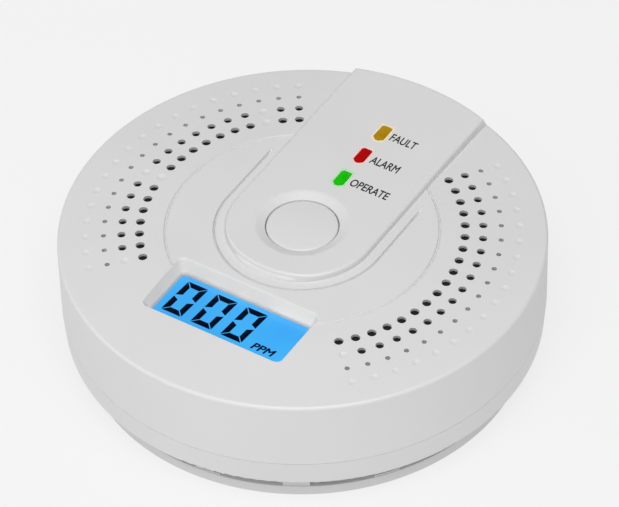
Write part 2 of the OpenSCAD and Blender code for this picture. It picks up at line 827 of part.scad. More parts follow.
module battery_spring(k) {
    color("silver") translate([cell_x(k), 0, z_cell]) rotate([0, 0, cell_dir(k) > 0 ? 0 : 180])
        translate([0, -bay_l / 2 + contact_t + 0.05, 0]) rotate([-90, 0, 0]) coil_spring();
}

// contact plate on the bay's end wall, spanning from cell a to cell b
module contact(a, b, end) {
    h = cell_d - 3;
    w = cell_d - 4;
    y = end > 0 ? bay_l / 2 - contact_t : -bay_l / 2;
    color("silver") translate([cell_x(a) - w / 2, y + 0.01 * -end, z_cell - h / 2])
        cube([cell_x(b) - cell_x(a) + w, contact_t - 0.02, h]);
}

module contact_tab(x, end) {
    y = end > 0 ? bay_l / 2 - contact_t - 0.01 : -bay_l / 2 - bay_wall - 2.01 + contact_t;
    color("silver") translate([x - tab_w / 2, y, z_tab]) cube([tab_w, bay_wall + 2.02, tab_h]);
}

module contact_plus() { contact(1, 1, 1); contact_tab(cell_x(1), 1); }
module contact_minus() { contact(3, 3, -1); contact_tab(cell_x(3), -1); }
module contact_link_rear() contact(1, 2, -1);
module contact_link_front() contact(2, 3, 1);

module battery_lead(x, end, shade) {
    z = z_tab + tab_h + 0.02;
    color(shade) translate([x, end * (bay_l / 2 + bay_wall + 0.9), z])
        cylinder(d = 1.3, h = z_board - 0.02 - z);
}
module battery_lead_plus() battery_lead(cell_x(1), 1, "red");
module battery_lead_minus() battery_lead(cell_x(3), -1, "black");

// ---------- screws ----------

// screw that points up, its head's seat at z = 0
module screw(d, l, head_r, head_h) {
    slot_w = 0.8;
    color([0.7, 0.7, 0.72]) difference() {
        union() {
            translate([0, 0, -head_h]) cylinder(r = head_r, h = head_h);
            cylinder(d = d, h = l - d / 2);
            translate([0, 0, l - d / 2]) cylinder(d1 = d, d2 = d / 3, h = d / 2);
        }
        for (a = [0, 90]) rotate([0, 0, a])
            translate([-head_r * 0.6, -slot_w / 2, -head_h - eps]) cube([head_r * 1.2, slot_w, head_h * 0.6]);
    }
}

module case_screw(k) {
    rotate([0, 0, case_angles[k - 1]]) translate([case_boss_ring, 0, z_screw_seat])
        screw(case_screw_d, case_screw_l, screw_head_r, screw_head_h);
}

module board_screw(k) {
    p = board_posts[k - 1];
    rotate([0, 0, p[0]]) translate([p[1], 0, z_board])
        screw(board_screw_d, board_screw_l, post_pad_r, board_head_h);
}

mounting_plate();
rear_shell();
front_cover();
test_button();
light_pipe_fault();
light_pipe_alarm();
light_pipe_operate();
display_glass();
display_gasket();
display_backlight();
display_pins_upper();
display_pins_lower();
dust_filter_left();
dust_filter_right();
circuit_board();
sensor_can();
sensor_cap();
for (k = [1:3]) sensor_lead(k);
sounder_housing();
sounder_disc();
for (k = [1:2]) sounder_lead(k);
switch_body();
switch_plunger();
led_fault();
led_alarm();
led_operate();
controller_chip();
amplifier_chip();
regulator_chip();
capacitor_1();
capacitor_2();
sounder_coil();
for (k = [1:3]) battery(k);
for (k = [1:3]) battery_spring(k);
contact_plus();
contact_minus();
contact_link_rear();
contact_link_front();
battery_lead_plus();
battery_lead_minus();
for (k = [1:4]) case_screw(k);
for (k = [1:3]) board_screw(k);
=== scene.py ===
# %% [markdown]
# # A round carbon monoxide detector, dressed in Blender
# The working parts come from a imported CAD model: a wall plate, a body that twists on it, a test
# button and everything inside. This lesson gives that model its looks. Pieces that the eye rests on
# are built again as finer meshes, and every surface gets a finish made of nodes. We start by loading
# the frame, whose parts' boxes give the main sizes. Nothing we add may make the object bigger.

# %% Load the frame
import json
import math

import bmesh
import bpy
from mathutils import Matrix, Vector


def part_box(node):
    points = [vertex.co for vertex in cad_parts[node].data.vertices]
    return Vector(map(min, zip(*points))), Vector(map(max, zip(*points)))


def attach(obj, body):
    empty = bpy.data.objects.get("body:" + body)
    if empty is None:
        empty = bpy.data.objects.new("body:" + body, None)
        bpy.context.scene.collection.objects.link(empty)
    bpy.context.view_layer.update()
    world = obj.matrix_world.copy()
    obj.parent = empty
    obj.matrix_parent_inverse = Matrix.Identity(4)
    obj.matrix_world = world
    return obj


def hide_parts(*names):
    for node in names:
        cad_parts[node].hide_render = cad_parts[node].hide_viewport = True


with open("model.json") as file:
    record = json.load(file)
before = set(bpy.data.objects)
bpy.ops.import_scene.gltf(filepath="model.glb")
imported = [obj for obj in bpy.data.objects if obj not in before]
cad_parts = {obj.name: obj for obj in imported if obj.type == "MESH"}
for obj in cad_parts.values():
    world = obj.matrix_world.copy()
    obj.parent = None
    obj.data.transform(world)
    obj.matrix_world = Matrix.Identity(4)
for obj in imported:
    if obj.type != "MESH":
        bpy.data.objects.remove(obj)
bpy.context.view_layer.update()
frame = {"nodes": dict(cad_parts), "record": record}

# %% [markdown]
# ## Driving sizes
# Blender works in metres, and a small object like this is easier to think of in millimetres, so one
# name stands for a millimetre. The radius of the body and the main heights are read off the frame.
# If the CAD model changes, the pieces built here follow it. The small sizes of the moulding, such as
# roundings, slopes and the places of holes, are named in the cells that need them.

# %% Sizes taken from the frame
mm = 0.001

body_r = round(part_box("front_cover")[1].x / mm, 3)
z_strip = round(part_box("front_cover")[1].z / mm, 3)
z_glass_top = round(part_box("display_glass")[1].z / mm, 3)
z_button_top = round(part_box("test_button")[1].z / mm, 3)
z_lamp_top = round(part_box("light_pipe_alarm")[1].z / mm, 3)
print("body radius", body_r, "mm, top of the strip at", z_strip, "mm")

# %% [markdown]
# ## Finishes
# Nearly everything here is moulded plastic. Real moulded plastic is never one flat colour: the colour
# drifts very slightly across the part, the gloss is uneven, and a fine spark-eroded grain breaks up
# the highlights. A finish is therefore a Principled shader with three small helpers: one for the
# drift of colour, one for the uneven gloss and one for the grain. All of them use object
# coordinates, so the pattern keeps its real size and stays with the piece when it moves.

# %% Helpers for a finish
def new_finish(name):
    """Material with a Principled shader, and object coordinates to hang patterns on."""
    finish = bpy.data.materials.new(name)
    finish.use_nodes = True
    tree = finish.node_tree
    shader = tree.nodes["Principled BSDF"]
    place = tree.nodes.new("ShaderNodeTexCoord")
    return finish, tree, shader, place.outputs["Object"]


def noise(tree, place, size, detail=3.0):
    """Noise whose blotches are about `size` across."""
    pattern = tree.nodes.new("ShaderNodeTexNoise")
    pattern.inputs["Scale"].default_value = 1 / size
    pattern.inputs["Detail"].default_value = detail
    tree.links.new(place, pattern.inputs["Vector"])
    return pattern.outputs["Fac"]


def drift_of_colour(tree, shader, pattern, dark, light):
    """Let the colour drift between two close shades."""
    ramp = tree.nodes.new("ShaderNodeValToRGB")
    ramp.color_ramp.elements[0].position = 0.3
    ramp.color_ramp.elements[0].color = (*dark, 1)
    ramp.color_ramp.elements[1].position = 0.7
    ramp.color_ramp.elements[1].color = (*light, 1)
    tree.links.new(pattern, ramp.inputs["Fac"])
    tree.links.new(ramp.outputs["Color"], shader.inputs["Base Color"])
    return ramp.outputs["Color"]


def uneven_gloss(tree, shader, pattern, low, high):
    """Let the roughness wander between two values."""
    spread = tree.nodes.new("ShaderNodeMapRange")
    spread.inputs["To Min"].default_value = low
    spread.inputs["To Max"].default_value = high
    tree.links.new(pattern, spread.inputs["Value"])
    tree.links.new(spread.outputs["Result"], shader.inputs["Roughness"])


def grain(tree, shader, pattern, depth):
    """Let a pattern stand up from the surface by a small height."""
    bump = tree.nodes.new("ShaderNodeBump")
    bump.inputs["Distance"].default_value = depth
    tree.links.new(pattern, bump.inputs["Height"])
    tree.links.new(bump.outputs["Normal"], shader.inputs["Normal"])


def moulded_plastic(name, dark, light, gloss=(0.36, 0.46), grain_size=0.12 * mm, grain_depth=0.004 * mm):
    """Satin moulded plastic."""
    finish, tree, shader, place = new_finish(name)
    drift_of_colour(tree, shader, noise(tree, place, 30 * mm), dark, light)
    uneven_gloss(tree, shader, noise(tree, place, 8 * mm), *gloss)
    grain(tree, shader, noise(tree, place, grain_size, 2.0), grain_depth)
    return finish


def grey(value):
    """The same value three times."""
    return (value, value, value)

# %% [markdown]
# The outside of the detector is white ABS with a satin finish. The wall plate and the button are
# separate mouldings, so they get shades of their own: a plate runs in another tool and comes out a
# touch greyer, and the button is polished a little more by fingers. The lamp windows are tinted
# acrylic, glossy and slightly see-through, and lit faintly from behind. The walls of the grille's
# holes get a duller white, because pins mould them and nobody polishes them, and a darker colour,
# which is painted shade for the hollow of each hole.

# %% White mouldings and lamp windows
body_white = moulded_plastic("body_white", grey(0.70), grey(0.725))
# Painted shade: this darker white paints the shade inside the grille's holes.
painted_shade_hole_white = moulded_plastic("painted_shade_hole_white", grey(0.46), grey(0.49), gloss=(0.6, 0.7))
plate_white = moulded_plastic("plate_white", grey(0.665), grey(0.69), gloss=(0.42, 0.52))
button_white = moulded_plastic("button_white", grey(0.70), grey(0.725), gloss=(0.30, 0.38))


def tinted_acrylic(name, deep, bright, glow):
    """Coloured window with a soft glow of its own."""
    finish, tree, shader, place = new_finish(name)
    tint = drift_of_colour(tree, shader, noise(tree, place, 1.5 * mm), deep, bright)
    tree.links.new(tint, shader.inputs["Emission Color"])
    shader.inputs["Emission Strength"].default_value = glow
    shader.inputs["Specular IOR Level"].default_value = 0.08
    uneven_gloss(tree, shader, noise(tree, place, 2 * mm), 0.18, 0.28)
    return finish


amber_window = tinted_acrylic("amber_window", (0.345, 0.19, 0.001), (0.425, 0.24, 0.003), 0.12)
red_window = tinted_acrylic("red_window", (0.34, 0.0, 0.0), (0.44, 0.0, 0.001), 0.12)
green_window = tinted_acrylic("green_window", (0.005, 0.42, 0.0), (0.009, 0.51, 0.001), 0.12)
print("white mouldings and three tinted windows")

# %% [markdown]
# The display is a sheet of glass with a blue backlight. From outside it reads as an even, glowing
# blue under a glossy surface, so the blue goes mostly into emission: it then stays the same blue
# whichever way the detector is turned. The opal sheet behind the glass shines too, and it lights the
# walls of the pocket. The segments and the printed legends are inks. Ink is thin but not perfectly
# even, and a little noise in its colour is enough.

# %% Display and inks
def backlit_glass(name, edge, middle):
    """Glass over a lamp sheet, slightly brighter in places."""
    finish, tree, shader, place = new_finish(name)
    blue = drift_of_colour(tree, shader, noise(tree, place, 14 * mm, 1.0), edge, middle)
    tree.links.new(blue, shader.inputs["Emission Color"])
    shader.inputs["Emission Strength"].default_value = 0.5
    uneven_gloss(tree, shader, noise(tree, place, 5 * mm), 0.10, 0.16)
    return finish


def lit_opal(name, dark, light, glow):
    """Opal sheet that shines along its whole face."""
    finish, tree, shader, place = new_finish(name)
    white = drift_of_colour(tree, shader, noise(tree, place, 20 * mm), dark, light)
    tree.links.new(white, shader.inputs["Emission Color"])
    shader.inputs["Emission Strength"].default_value = glow
    uneven_gloss(tree, shader, noise(tree, place, 8 * mm), 0.2, 0.3)
    return finish


def ink(name, dark, light, gloss):
    """Thin printed or polarised ink."""
    finish, tree, shader, place = new_finish(name)
    drift_of_colour(tree, shader, noise(tree, place, 0.4 * mm), dark, light)
    uneven_gloss(tree, shader, noise(tree, place, 1 * mm), *gloss)
    shader.inputs["Specular IOR Level"].default_value = 0.03
    return finish


display_blue = backlit_glass("display_blue", (0.026, 0.263, 0.61), (0.032, 0.305, 0.66))
segment_ink = ink("segment_ink", (0.0, 0.003, 0.014), (0.001, 0.006, 0.02), (0.14, 0.20))
legend_ink = ink("legend_ink", grey(0.02), grey(0.035), (0.45, 0.55))
gasket_rubber = moulded_plastic("gasket_rubber", (0.38, 0.40, 0.41), (0.44, 0.46, 0.47), gloss=(0.6, 0.7))
diffuser_opal = lit_opal("diffuser_opal", (0.88, 0.85, 0.83), (0.94, 0.91, 0.88), 0.9)
print("display blue, two inks, gasket and diffuser")

# %% [markdown]
# The inside gets honest finishes too, because a part like this is opened up in pictures and
# animations. The board is green solder mask with the faint weave of its glass cloth, the dust filter
# is a mat of crossing threads, and metals are brushed, rolled or plated. A brushed look is noise
# stretched along one direction, which a Mapping node does. At a scale of one, Blender's wave repeats
# about every 0.31 units, so that number over the width of a thread gives one wave to each thread.

# %% Finishes of the inside
wave_period = 0.31


def stretched(tree, place, x, y, z):
    """Coordinates scaled by a different factor along each axis."""
    mapping = tree.nodes.new("ShaderNodeMapping")
    mapping.inputs["Scale"].default_value = (x, y, z)
    tree.links.new(place, mapping.inputs["Vector"])
    return mapping.outputs["Vector"]


def metal(name, dark, light, roughness, stretch=(1, 1, 12)):
    """Bare or plated metal with fine drawn lines."""
    finish, tree, shader, place = new_finish(name)
    lines = noise(tree, stretched(tree, place, *stretch), 0.8 * mm)
    drift_of_colour(tree, shader, lines, dark, light)
    uneven_gloss(tree, shader, lines, roughness - 0.06, roughness + 0.06)
    grain(tree, shader, lines, 0.003 * mm)
    shader.inputs["Metallic"].default_value = 1.0
    return finish


def woven(name, dark, light, thread, gloss, depth):
    """Cloth or cloth-backed sheet: two wave patterns that cross."""
    finish, tree, shader, place = new_finish(name)
    crossing = tree.nodes.new("ShaderNodeMath")
    crossing.operation = "MULTIPLY"
    for slot, direction in enumerate(("X", "Y")):
        wave = tree.nodes.new("ShaderNodeTexWave")
        wave.bands_direction = direction
        wave.inputs["Scale"].default_value = wave_period / thread
        wave.inputs["Distortion"].default_value = 0.6
        tree.links.new(place, wave.inputs["Vector"])
        tree.links.new(wave.outputs["Fac"], crossing.inputs[slot])
    drift_of_colour(tree, shader, crossing.outputs["Value"], dark, light)
    uneven_gloss(tree, shader, crossing.outputs["Value"], *gloss)
    grain(tree, shader, crossing.outputs["Value"], depth)
    return finish


def battery_jacket_finish(name):
    """Dark blue lacquered jacket of a cell, without lettering."""
    finish, tree, shader, place = new_finish(name)
    drift_of_colour(tree, shader, noise(tree, place, 3 * mm), (0.02, 0.05, 0.16), (0.03, 0.07, 0.22))
    uneven_gloss(tree, shader, noise(tree, place, 4 * mm), 0.22, 0.34)
    shader.inputs["Metallic"].default_value = 0.6
    return finish


record_finishes = {
    "white_plastic": body_white,
    "plate_plastic": plate_white,
    "button_plastic": button_white,
    "amber_lens": amber_window,
    "red_lens": red_window,
    "green_lens": green_window,
    "display_glass": display_blue,
    "gasket_rubber": gasket_rubber,
    "diffuser": diffuser_opal,
    "tinned_metal": metal("tinned_steel", grey(0.62), grey(0.74), 0.24),
    "filter_cloth": woven("filter_cloth", grey(0.004), grey(0.02), 0.25 * mm, (0.85, 0.95), 0.05 * mm),
    "board_laminate": woven("solder_mask", (0.01, 0.11, 0.035), (0.015, 0.15, 0.05), 0.45 * mm, (0.25, 0.35),
                            0.004 * mm),
    "cap_plastic": moulded_plastic("cap_plastic", grey(0.70), grey(0.76)),
    "black_plastic": moulded_plastic("black_plastic", grey(0.012), grey(0.02), gloss=(0.35, 0.5)),
    "sounder_brass": metal("rolled_brass", (0.62, 0.44, 0.16), (0.74, 0.54, 0.22), 0.26, stretch=(1, 12, 1)),
    "led_resin": tinted_acrylic("clear_resin", (0.70, 0.66, 0.48), (0.80, 0.76, 0.58), 0.05),
    "capacitor_can": metal("drawn_can", grey(0.62), grey(0.72), 0.30),
    "battery_jacket": battery_jacket_finish("battery_jacket"),
    "wire_red": moulded_plastic("wire_red", (0.32, 0.008, 0.006), (0.42, 0.014, 0.01), gloss=(0.3, 0.4)),
    "wire_black": moulded_plastic("wire_black", grey(0.01), grey(0.02), gloss=(0.3, 0.4)),
    "screw_steel": metal("zinc_plate", grey(0.55), grey(0.68), 0.30, stretch=(1, 1, 1)),
}
print(len(record_finishes), "finishes for the record's material slots")

# %% [markdown]
# ## Dressing the CAD pieces
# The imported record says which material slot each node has. One loop hands every node its finish, so
# nothing is forgotten, also deep inside the case. A CAD object is never moved and its mesh is never
# changed: it only gets a new material.

# %% A finish for every CAD node
for part in frame["record"]["subparts"]:
    node = frame["nodes"][part["node"]]
    node.data.materials.clear()
    node.data.materials.append(record_finishes[part["material_slot"]])

# %% [markdown]
# ## Shapes from outlines
# Most moulded pieces are either turned about an axis or drawn as an outline that changes a little as
# it rises. Both could be modelled by hand, but a few lines of code keep every rounding exact. A
# shape here is just a list of points in millimetres and a list of faces. Only when it's finished does
# it become a Blender object, scaled to metres.

# %% Turned shapes and lofts
def turned(profile, steps):
    """Solid turned about the Z axis from a profile of (radius, height), closed by itself or by the axis."""
    points, rings = [], []
    for radius, height in profile:
        if radius < 1e-6:
            rings.append([len(points)] * steps)
            points.append(Vector((0, 0, height)))
        else:
            rings.append(list(range(len(points), len(points) + steps)))
            for step in range(steps):
                angle = 2 * math.pi * step / steps
                points.append(Vector((radius * math.cos(angle), radius * math.sin(angle), height)))
    faces = []
    touches_axis = profile[0][0] < 1e-6
    pairs = list(zip(rings, rings[1:])) + ([] if touches_axis else [(rings[-1], rings[0])])
    for near, far in pairs:
        for step in range(steps):
            after = (step + 1) % steps
            corners = [near[step], near[after], far[after], far[step]]
            faces.append(tuple(dict.fromkeys(corners)))
    return points, faces


def lofted(outlines, ring=False):
    """Solid through outlines with equally many points each: a stack with two ends, or a closed ring."""
    count = len(outlines[0])
    points = [Vector(point) for outline in outlines for point in outline]
    faces = [] if ring else [tuple(range(count)), tuple(range(len(points) - count, len(points)))]
    for level in range(len(outlines) if ring else len(outlines) - 1):
        low, high = level * count, (level + 1) % len(outlines) * count
        for k in range(count):
            after = (k + 1) % count
            faces.append((low + k, low + after, high + after, high + k))
    return points, faces


def placed(shape, matrix):
    """The same shape moved by a matrix."""
    return [matrix @ point for point in shape[0]], shape[1]


def together(shapes):
    """Several separate shapes in one."""
    points, faces = [], []
    for shape_points, shape_faces in shapes:
        first = len(points)
        points += shape_points
        faces += [tuple(first + corner for corner in face) for face in shape_faces]
    return points, faces


def soft_corner(start, corner, end, steps):
    """Points of a smooth turn from start to end that leans into the corner."""
    turn = []
    for step in range(steps + 1):
        t = step / steps
        first, middle, last = (1 - t) ** 2, 2 * t * (1 - t), t * t
        turn.append(tuple(first * a + middle * c + last * b for a, c, b in zip(start, corner, end)))
    return turn


print("turned and lofted shapes are ready")

# %% [markdown]
# Wherever one shape is cut out of another, the soft edge is built into the cutter. A bevel added
# afterwards would have to find its way around hundreds of holes, while a cutter whose mouth flares
# like a trumpet leaves the rounding behind by itself. The cuts are Boolean modifiers, applied one
# after the other. When a piece is done, edges sharper than 30 degrees are marked sharp, and a
# Weighted Normal modifier lets the large faces decide the shading next to small roundings. Points that
# a Boolean leaves almost on top of each other are welded first, so the mesh has no slivers.

# %% From shape to piece
def form(name, shape):
    """Blender object, still in millimetres, with its normals turned outwards."""
    mesh = bpy.data.meshes.new(name)
    mesh.from_pydata(shape[0], [], shape[1])
    raw = bmesh.new()
    raw.from_mesh(mesh)
    bmesh.ops.recalc_face_normals(raw, faces=raw.faces)
    raw.to_mesh(mesh)
    raw.free()
    blank = bpy.data.objects.new(name, mesh)
    bpy.context.scene.collection.objects.link(blank)
    return blank


def combine(blank, shape, way):
    """Join a shape to a form, or cut it out."""
    tool = form(blank.name + "_tool", shape)
    step = blank.modifiers.new(way, "BOOLEAN")
    step.operation = way
    step.solver = "MANIFOLD"
    step.object = tool
    result = bpy.data.meshes.new_from_object(blank.evaluated_get(bpy.context.evaluated_depsgraph_get()))
    blank.modifiers.clear()
    blank.data = result
    bpy.data.objects.remove(tool)


weld_distance = 0.0005
sharp_angle = math.radians(30)


def finished(blank, finish, body, record_slot, *stands_for):
    """Weld a form, scale it to metres, shade it, dress it and let it ride on its body."""
    mesh = blank.data
    raw = bmesh.new()
    raw.from_mesh(mesh)
    bmesh.ops.remove_doubles(raw, verts=raw.verts, dist=weld_distance)
    raw.to_mesh(mesh)
    raw.free()
    mesh.transform(Matrix.Scale(mm, 4))
    mesh.materials.clear()
    mesh.materials.append(finish)
    for face in mesh.polygons:
        face.use_smooth = True
    mesh.set_sharp_from_angle(angle=sharp_angle)
    shading = blank.modifiers.new("shading", "WEIGHTED_NORMAL")
    shading.keep_sharp = True
    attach(blank, body)
    if stands_for:
        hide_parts(*stands_for)
    print(blank.name, len(mesh.polygons), "faces")
    return blank


# %% [markdown]
# ## The front cover
# The cover is the piece that everybody sees: a shallow round cap with a rounded rim. Its face is flat
# in the middle, then falls away very slightly towards the rim, and a soft groove marks where the fall
# begins. That is a shape turned about one axis, so its half section is drawn point by point and
# turned in fine steps, fine enough for the rim to look perfectly round close up.

# %% Section of the cover
strip_rise = 1.5
face_wall = 2.0
side_wall = 2.0
flat_r = 28.1
fall = math.tan(math.radians(2.8))
rim_round = 0.7
rim_r = body_r - rim_round
inner_r = body_r - side_wall
z_face = z_strip - strip_rise
z_split = 12.855
foot_round = 0.1
groove_width = 0.7
groove_depth = 0.5
groove_r = flat_r - 0.1
cover_steps = 240


def face_level(radius):
    """Height of the face at a radius: flat first, then falling a little faster towards the rim."""
    run = max(0.0, radius - flat_r)
    return z_face - fall * (0.8 * run + 0.2 * run * run / (rim_r - flat_r))


def under_level(radius):
    """Height of the underside of the face at a radius."""
    return z_face - face_wall - max(0.0, radius - flat_r) * fall


section = [(0, z_face), (16, z_face)]
for step in range(9):
    radius = groove_r + groove_width * (step / 8 - 0.5)
    section.append((radius, face_level(radius) - groove_depth * math.sin(math.pi * step / 8) ** 2))
for step in range(1, 9):
    radius = flat_r + groove_width / 2 + (rim_r - flat_r - groove_width / 2) * step / 8
    section.append((radius, face_level(radius)))
lean = math.atan(1.2 * fall)
rim_z = face_level(rim_r) - rim_round * math.cos(lean)
for step in range(1, 9):
    angle = lean + (math.pi / 2 - lean) * step / 8
    section.append((rim_r + rim_round * math.sin(angle), rim_z + rim_round * math.cos(angle)))
section += soft_corner((body_r, z_split + foot_round), (body_r, z_split), (body_r - foot_round, z_split), 3)
section += [(inner_r, z_split), (inner_r, under_level(inner_r)), (flat_r, under_level(flat_r)),
            (0, z_face - face_wall)]

cover = form("fine_front_cover", turned(section, cover_steps))
print("section of", len(section), "points, rim", round(face_level(rim_r) - z_face, 2), "mm below the flat")

# %% [markdown]
# The raised strip runs from the button to the far rim. Its round end carries a wide bevel that fades
# out along the sides: two circles with different centres do that, and where they meet the smaller
# distance wins, blended so that no crease shows. The outline is drawn at a few heights, with a small
# rounding along the top edge, and lofted. The display's box, the screw bosses and the board posts sit
# under the face. All of them are joined to the cover in one go.

# %% Raised strip, bosses and posts
strip_half = 15.75
strip_side_lean = 0.05
far_end_lean = 1.6
bevel_centre = 4.0
bevel_margin = 0.1
blend = 0.08
top_round = 0.65


def strip_half_width(height):
    """Half of the strip's width at a height."""
    return strip_half - strip_side_lean * (height - z_face)


def round_end(angle, height):
    """Distance from the button's centre to the strip's round end."""
    side = strip_half_width(height)
    reach = strip_half + bevel_centre - (height - z_face)
    bevel = bevel_centre * math.sin(angle) + math.sqrt(reach ** 2 - (bevel_centre * math.cos(angle)) ** 2)
    bevel += bevel_margin
    return min(side, bevel) - blend * math.log(1 + math.exp(-abs(side - bevel) / blend))


def strip_outline(height, inset, level):
    """Outline of the strip, measured at one height and drawn at a level."""
    outline = []
    for step in range(121):
        angle = math.pi + math.pi * step / 120
        reach = round_end(angle, height) - inset
        outline.append((reach * math.cos(angle), reach * math.sin(angle), level))
    side = strip_half_width(height) - inset
    end_r = body_r - far_end_lean * (height - rim_z) / (z_strip - rim_z) - inset
    far = math.sqrt(end_r ** 2 - side ** 2)
    outline += [(side, far * step / 10, level) for step in range(1, 10)]
    spread = math.asin(side / end_r)
    for step in range(41):
        angle = spread * (1 - step / 20)
        outline.append((end_r * math.sin(angle), end_r * math.cos(angle), level))
    outline += [(-side, far * (1 - step / 10), level) for step in range(1, 10)]
    return outline


def tube(radius, hole_r, low, high, hole_top):
    """Round post with a blind hole from below."""
    profile = [(0, high), (radius, high), (radius, low), (hole_r, low), (hole_r, hole_top), (0, hole_top)]
    return turned(profile, 48)


def rounded_outline(width, length, corner, level, middle_y):
    """Rectangle with round corners at a level."""
    outline = []
    for turn, (x, y) in enumerate(((1, 1), (-1, 1), (-1, -1), (1, -1))):
        for step in range(9):
            angle = math.pi / 2 * (turn + step / 8)
            outline.append((x * (width / 2 - corner) + corner * math.cos(angle),
                            middle_y + y * (length / 2 - corner) + corner * math.sin(angle), level))
    return outline


strip_levels = [strip_outline(level, 0, level) for level in (z_face - 1.5, z_face - 0.4, z_face + 0.3)]
for step in range(9):
    angle = math.pi / 2 * step / 8
    strip_levels.append(strip_outline(z_strip - top_round, top_round * (1 - math.cos(angle)),
                                      z_strip - top_round * (1 - math.sin(angle))))

display_y = -27.3
z_pocket = z_glass_top + 0.2
display_box = (34.7, 16.8, 1.0)
boss_angles, boss_ring, boss_r, boss_hole_r = (50, 130, -50, -130), 43.2, 3.0, 1.43
z_boss_foot, z_boss_hole_top, z_boss_top = 10.6, 21.6, z_face - 2.5
posts, post_r, post_hole_r, post_hole = ((90, 41.3), (-108.5, 43.4), (-71.5, 43.4)), 2.2, 1.13, 5
z_board_top = 22.5


def at_angle(angle, ring):
    """Place on a ring around the axis, at an angle in degrees."""
    return Matrix.Rotation(math.radians(angle), 4, "Z") @ Matrix.Translation((ring, 0, 0))


additions = [
    lofted(strip_levels),
    lofted([rounded_outline(*display_box, level, display_y)
            for level in (z_pocket, z_face - face_wall + 0.01)]),
]
for angle in boss_angles:
    boss = tube(boss_r, boss_hole_r, z_boss_foot, z_boss_top, z_boss_hole_top)
    additions.append(placed(boss, at_angle(angle, boss_ring)))
for angle, ring in posts:
    post = tube(post_r, post_hole_r, z_board_top, z_face - face_wall, z_board_top + post_hole)
    additions.append(placed(post, at_angle(angle, ring)))
combine(cover, together(additions), "UNION")
print("strip, display box,", len(boss_angles), "screw bosses and", len(posts), "board posts joined:",
      len(cover.data.polygons), "faces")

# %% [markdown]
# Next come the large openings: the hollow under the strip, the recesses behind the grille that thin
# the face to three quarters of a millimetre and take the dust filters, the display's pocket with its
# flaring walls, and the fine line that runs around the button's end of the strip. Its ends don't stop
# dead. They rise over the last millimetre, as a line cut by a lifting tool does. The soft mouths of
# the cutters end a hair above the face, so that no two faces lie in one plane.

# %% Hollow, recesses, pocket and fine line
hair = 0.003
hollow_end, hollow_depth = 38.6, 3.97
grille_wall = 0.75
filter_inner, filter_outer = 31.0, 39.38
filter_start, filter_end = 29.2, 139.3
recess_depth = 3.2


def hollow_outline(level):
    """Outline of the hollow under the strip."""
    half = strip_half - face_wall + (z_face - level) * strip_side_lean
    outline = []
    for step in range(49):
        angle = math.pi + math.pi * step / 48
        outline.append((half * math.cos(angle), half * math.sin(angle), level))
    return outline + [(half, hollow_end, level), (-half, hollow_end, level)]


def recess(side):
    """Part of a ring under the face, swept through small steps of angle."""
    outlines = []
    for step in range(61):
        angle = math.radians(filter_start + (filter_end - filter_start) * step / 60)
        x, y = side * math.sin(angle), math.cos(angle)
        outlines.append([
            (filter_inner * x, filter_inner * y, face_level(filter_inner) - recess_depth),
            (filter_outer * x, filter_outer * y, face_level(filter_outer) - recess_depth),
            (filter_outer * x, filter_outer * y, face_level(filter_outer) - grille_wall),
            (filter_inner * x, filter_inner * y, face_level(filter_inner) - grille_wall),
        ])
    return lofted(outlines)


def pocket():
    """Display pocket: straight at the bottom, flared above, with a soft top edge."""
    width, length, corner, flare, soft = 31.1, 13.2, 1.2, 1.1, 0.36
    z_flare = z_pocket + 0.7
    stations = [(0, z_pocket - 1), (0, z_flare - 0.1)]
    stations += soft_corner((0, z_flare - 0.1), (0, z_flare), (0.044, z_flare + 0.1), 2)[1:]
    rise = z_face - z_flare
    part = soft / math.hypot(flare, rise)
    stations += soft_corner((flare * (1 - part), z_face - rise * part), (flare, z_face),
                            (flare + soft, z_face + hair), 6)
    stations.append((flare + soft, z_face + 1))
    return lofted([rounded_outline(width + 2 * grow, length + 2 * grow, corner + 0.3 * grow, level, display_y)
                   for grow, level in stations])


def fine_line():
    """Rounded groove along a U-shaped path, fading at both ends."""
    line_r, line_reach, half, depth = 18.0, 17.0, 0.27, 0.75
    path = [(line_r, line_reach - 0.5 * step, 1, 0) for step in range(int(line_reach / 0.5))]
    for step in range(121):
        angle = -math.pi * step / 120
        path.append((line_r * math.cos(angle), line_r * math.sin(angle), math.cos(angle), math.sin(angle)))
    path += [(-line_r, 0.5 * step, -1, 0) for step in range(1, int(line_reach / 0.5) + 1)]
    outlines = []
    for x, y, out_x, out_y in path:
        fade = 1 if y < line_reach - 1 else max(0.04, line_reach - y)
        shape = [(-1, 0.5), (-1, 0.002), (-0.5, -0.75 * depth * fade), (0, -depth * fade),
                 (0.5, -0.75 * depth * fade), (1, 0.002), (1, 0.5)]
        outlines.append([(x + out_x * across * half, y + out_y * across * half, z_face + up)
                         for across, up in shape])
    return lofted(outlines)


hollow = lofted([hollow_outline(level) for level in (z_face - hollow_depth, z_face - 0.5)])
combine(cover, together([hollow, recess(-1), recess(1), pocket(), fine_line()]), "DIFFERENCE")
print("large openings cut:", len(cover.data.polygons), "faces")

# %% [markdown]
# The grille is four rings of small holes on each side of the strip. The two inner rings go right
# through, the third is a ring of fine blind holes, and the outer one is a row of dimples so shallow
# that it only catches a ring of light. A few holes of the inner rings are left closed. Every cutter is
# tilted with the slope of the face, so its flared mouth leaves an even rounding all round the hole.
# The walls of the holes get their duller, darker white last: the darker colour is painted shade
# inside the holes. They are the steep faces in the zone of the rings.

# %% Grille, button opening and lamp slots
mouth, dimple_mouth = 0.13, 0.08
above = 0.6
hole_steps = 24


def hole_cutter(radius, depth):
    """Straight hole to a depth, with a flared mouth."""
    flare = soft_corner((radius, -mouth), (radius, 0), (radius + mouth, hair), 3)
    return turned([(0, -depth), (radius, -depth), *flare, (radius + mouth, above), (0, above)], hole_steps)


